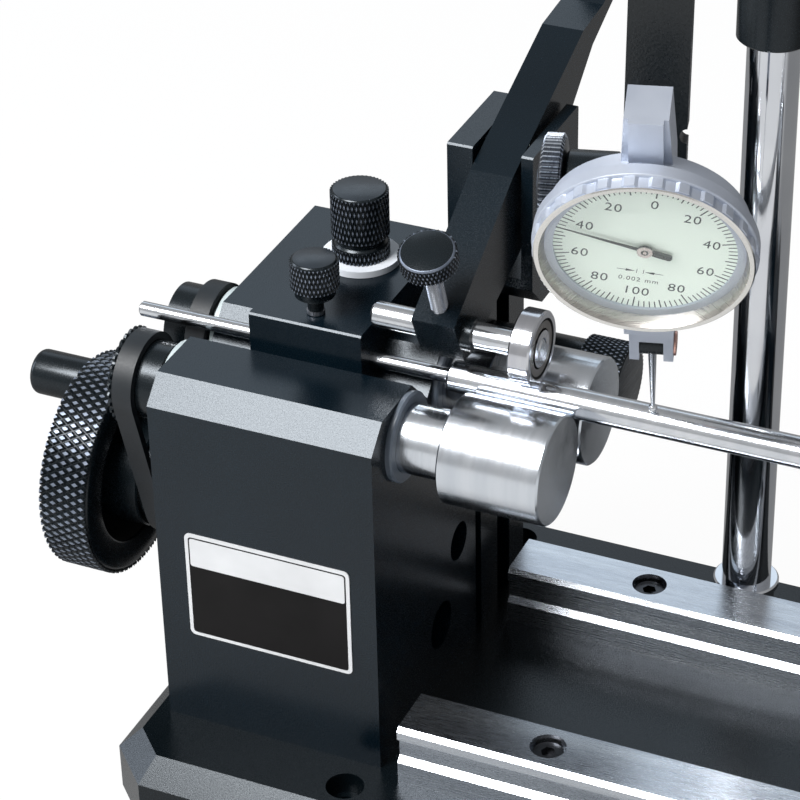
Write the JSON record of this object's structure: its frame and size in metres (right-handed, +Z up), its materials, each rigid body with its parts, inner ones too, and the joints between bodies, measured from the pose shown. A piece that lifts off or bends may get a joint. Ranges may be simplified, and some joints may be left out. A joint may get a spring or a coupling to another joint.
{
  "type": "concentricity gauge",
  "caption": "Bench gauge with a hand-driven roller headstock, pressure bearing on a lever, guide rails with a sliding steady and a lever dial indicator on a post.",
  "frame": {"origin": "centre of the base plate's underside", "axes": "+X along the guide rails away from the headstock, +Y away from the user's side, +Z up"},
  "size_m": [0.38, 0.1586, 0.2874],
  "materials": {
    "black_anodised": "black anodised, satin",
    "black_knurl": "black oxide, knurled",
    "ground_steel": "ground, bright",
    "rail_steel": "ground",
    "chrome_post": "hard chrome, polished",
    "bearing_steel": "honed",
    "screw_steel": "black oxide",
    "bush_plastic": "satin",
    "nylon": "white nylon",
    "belt_rubber": "matt black",
    "crinkle_black": "black crinkle paint",
    "indicator_satin": "satin chrome",
    "wheel_steel": "straight knurled",
    "dial_paint": "pale green dial",
    "pointer_black": "black",
    "crystal_clear": "clear"
  },
  "bodies": {
    "frame": {"base_plate": "black_anodised", "frame_screws": "screw_steel", "headstock_body": "black_anodised", "roller_bushes": "bush_plastic", "front_belt": "belt_rubber", "rear_belt": "belt_rubber", "fork_block": "black_anodised", "lever_pivot_pin": "ground_steel", "front_rail": "rail_steel", "rear_rail": "rail_steel", "post": "chrome_post", "post_foot": "black_anodised", "post_washer": "ground_steel", "stop_knob_washer": "nylon"},
    "handwheel": {"handwheel": "black_knurl", "drive_pulley": "black_anodised", "handwheel_shaft": "ground_steel", "handwheel_screw": "screw_steel", "handle_pin": "ground_steel"},
    "crank_handle": {"crank_handle": "black_anodised"},
    "front_roller": {"front_roller": "ground_steel", "front_pulley": "black_anodised"},
    "rear_roller": {"rear_roller": "ground_steel", "rear_pulley": "black_anodised"},
    "test_shaft": {"test_shaft": "ground_steel"},
    "lever": {"lever": "black_anodised", "spindle_bush": "black_anodised"},
    "lever_clamp_screw": {"lever_clamp_screw": "black_knurl"},
    "pressure_spindle": {"pressure_spindle": "ground_steel", "bearing_inner_ring": "bearing_steel"},
    "pressure_bearing": {"bearing_outer_ring": "bearing_steel"},
    "stop_block": {"stop_block": "black_anodised"},
    "stop_rod": {"stop_rod": "ground_steel"},
    "stop_rod_screw": {"stop_rod_screw": "black_knurl"},
    "stop_block_knob": {"stop_block_knob": "black_knurl"},
    "headstock_lock_knob": {"headstock_lock_knob": "black_knurl"},
    "carriage": {"slide_blocks": "rail_steel", "saddle_plate": "black_anodised", "saddle_screws": "screw_steel", "steady_bracket": "black_anodised", "steady_pins": "ground_steel"},
    "steady_roller_front": {"steady_roller_front": "bearing_steel"},
    "steady_roller_rear": {"steady_roller_rear": "bearing_steel"},
    "carriage_lock_knob": {"carriage_lock_knob": "black_knurl"},
    "post_sleeve": {"post_sleeve": "black_anodised"},
    "sleeve_lock_knob": {"sleeve_lock_knob": "black_knurl"},
    "cross_clamp": {"cross_clamp": "black_anodised"},
    "cross_clamp_knob": {"cross_clamp_knob": "black_knurl"},
    "arm": {"arm_rod": "chrome_post"},
    "holder_bar": {"holder_bar": "crinkle_black"},
    "indicator": {"holder_clamp": "black_anodised", "indicator_body": "indicator_satin"},
    "clamp_wheel": {"clamp_wheel": "wheel_steel"},
    "bezel": {"dial_bezel": "indicator_satin", "dial_face": "dial_paint", "crystal": "crystal_clear"},
    "pointer": {"dial_pointer": "pointer_black"},
    "stylus_lever": {"carrier_pin": "black_anodised"},
    "stylus": {"stylus_carrier": "black_anodised", "stylus": "ground_steel"}
  },
  "joints": [
    {"name": "handwheel_spin", "type": "hinge", "parent": "frame", "child": "handwheel", "pos_m": [-0.1904, -0.0141, 0.0687], "axis": [1, 0, 0], "continuous": true},
    {"name": "crank_handle_spin", "type": "hinge", "parent": "handwheel", "child": "crank_handle", "pos_m": [-0.1904, 0.00436, 0.07665], "axis": [1, 0, 0], "continuous": true},
    {"name": "front_roller_spin", "type": "hinge", "parent": "frame", "child": "front_roller", "pos_m": [-0.0887, -0.02695, 0.10455], "axis": [1, 0, 0], "continuous": true},
    {"name": "rear_roller_spin", "type": "hinge", "parent": "frame", "child": "rear_roller", "pos_m": [-0.0887, -0.00125, 0.10455], "axis": [1, 0, 0], "continuous": true},
    {"name": "test_shaft_spin", "type": "hinge", "parent": "frame", "child": "test_shaft", "pos_m": [-0.0954, -0.0141, 0.11422], "axis": [1, 0, 0], "continuous": true},
    {"name": "lever_lift", "type": "hinge", "parent": "frame", "child": "lever", "pos_m": [-0.1089, 0.03175, 0.14883], "axis": [-1, 0, 0], "range_deg": [0, 35]},
    {"name": "pressure_spindle_slide", "type": "slide", "parent": "lever", "child": "pressure_spindle", "axis": [1, 0, 0], "range_m": [0, 0.008]},
    {"name": "pressure_bearing_spin", "type": "hinge", "parent": "pressure_spindle", "child": "pressure_bearing", "pos_m": [-0.0788, -0.0141, 0.1263], "axis": [1, 0, 0], "continuous": true},
    {"name": "lever_clamp_screw_turn", "type": "hinge", "parent": "lever", "child": "lever_clamp_screw", "pos_m": [-0.0969, -0.0141, 0.1263], "axis": [0, -0.342, 0.9397], "range_deg": [0, 360]},
    {"name": "stop_block_slide", "type": "slide", "parent": "frame", "child": "stop_block", "axis": [1, 0, 0], "range_m": [-0.005, 0]},
    {"name": "stop_rod_slide", "type": "slide", "parent": "stop_block", "child": "stop_rod", "axis": [1, 0, 0], "range_m": [-0.015, 0]},
    {"name": "stop_rod_screw_turn", "type": "hinge", "parent": "stop_block", "child": "stop_rod_screw", "pos_m": [-0.12835, -0.0141, 0.1232], "axis": [0, 0, 1], "range_deg": [0, 360]},
    {"name": "stop_block_knob_turn", "type": "hinge", "parent": "frame", "child": "stop_block_knob", "pos_m": [-0.12895, 0.0116, 0.1232], "axis": [0, 0, 1], "range_deg": [0, 360]},
    {"name": "headstock_lock_knob_turn", "type": "hinge", "parent": "frame", "child": "headstock_lock_knob", "pos_m": [-0.1014, 0.02225, 0.0973], "axis": [1, 0, 0], "range_deg": [0, 360]},
    {"name": "carriage_slide", "type": "slide", "parent": "frame", "child": "carriage", "axis": [1, 0, 0], "range_m": [-0.045, 0.04]},
    {"name": "steady_roller_front_spin", "type": "hinge", "parent": "carriage", "child": "steady_roller_front", "pos_m": [0.0591, -0.02395, 0.10561], "axis": [1, 0, 0], "continuous": true},
    {"name": "steady_roller_rear_spin", "type": "hinge", "parent": "carriage", "child": "steady_roller_rear", "pos_m": [0.0591, -0.00425, 0.10561], "axis": [1, 0, 0], "continuous": true},
    {"name": "carriage_lock_knob_turn", "type": "hinge", "parent": "carriage", "child": "carriage_lock_knob", "pos_m": [0.0646, -0.05645, 0.03715], "axis": [0, 1, 0], "range_deg": [0, 360]},
    {"name": "sleeve_height", "type": "slide", "parent": "frame", "child": "post_sleeve", "axis": [0, 0, 1], "range_m": [0, 0.035]},
    {"name": "sleeve_lock_knob_turn", "type": "hinge", "parent": "post_sleeve", "child": "sleeve_lock_knob", "pos_m": [-0.0425, 0.04385, 0.20869], "axis": [-0.2569, 0.9664, 0], "range_deg": [0, 360]},
    {"name": "cross_clamp_swivel", "type": "hinge", "parent": "post_sleeve", "child": "cross_clamp", "pos_m": [-0.0425, 0.04385, 0.23739], "axis": [0, 0, 1], "range_deg": [-10, 90]},
    {"name": "cross_clamp_knob_turn", "type": "hinge", "parent": "cross_clamp", "child": "cross_clamp_knob", "pos_m": [-0.0425, 0.04385, 0.23739], "axis": [0.9664, 0.2569, 0], "range_deg": [0, 360]},
    {"name": "arm_slide", "type": "slide", "parent": "cross_clamp", "child": "arm", "axis": [0.2569, -0.9664, 0], "range_m": [0, 0.01]},
    {"name": "holder_bar_swing", "type": "hinge", "parent": "arm", "child": "holder_bar", "pos_m": [-0.04512, -0.02442, 0.23739], "axis": [0.2569, -0.9664, 0], "range_deg": [-15, 15]},
    {"name": "indicator_tilt", "type": "hinge", "parent": "holder_bar", "child": "indicator", "pos_m": [-0.04308, -0.03208, 0.18094], "axis": [0.9664, 0.2569, 0], "range_deg": [-20, 20]},
    {"name": "clamp_wheel_turn", "type": "hinge", "parent": "indicator", "child": "clamp_wheel", "pos_m": [-0.04308, -0.03208, 0.18094], "axis": [0.9664, 0.2569, 0], "range_deg": [0, 360]},
    {"name": "bezel_turn", "type": "hinge", "parent": "indicator", "child": "bezel", "pos_m": [-0.03846, -0.04948, 0.17774], "axis": [0.2411, -0.9072, -0.3446], "continuous": true},
    {"name": "pointer_turn", "type": "hinge", "parent": "indicator", "child": "pointer", "pos_m": [-0.03846, -0.04948, 0.17774], "axis": [0.2411, -0.9072, -0.3446], "range_deg": [-180, 180]},
    {"name": "stylus_swing", "type": "hinge", "parent": "indicator", "child": "stylus_lever", "pos_m": [-0.04527, -0.02384, 0.14029], "axis": [0.9664, 0.2569, 0], "range_deg": [-0.3, 0.3]},
    {"name": "stylus_swivel", "type": "hinge", "parent": "stylus_lever", "child": "stylus", "pos_m": [-0.04527, -0.02384, 0.14029], "axis": [0.9664, 0.2569, 0], "range_deg": [-60, 60]}
  ],
  "couplings": [
    {"joint": "front_roller_spin", "follows": "handwheel_spin", "ratio": 1.2388},
    {"joint": "rear_roller_spin", "follows": "handwheel_spin", "ratio": 1.2388},
    {"joint": "test_shaft_spin", "follows": "handwheel_spin", "ratio": -4.4243},
    {"joint": "pressure_bearing_spin", "follows": "handwheel_spin", "ratio": 1.8218},
    {"joint": "steady_roller_front_spin", "follows": "handwheel_spin", "ratio": 1.63},
    {"joint": "steady_roller_rear_spin", "follows": "handwheel_spin", "ratio": 1.63},
    {"joint": "stylus_swing", "follows": "pointer_turn", "ratio": 0.00139}
  ]
}
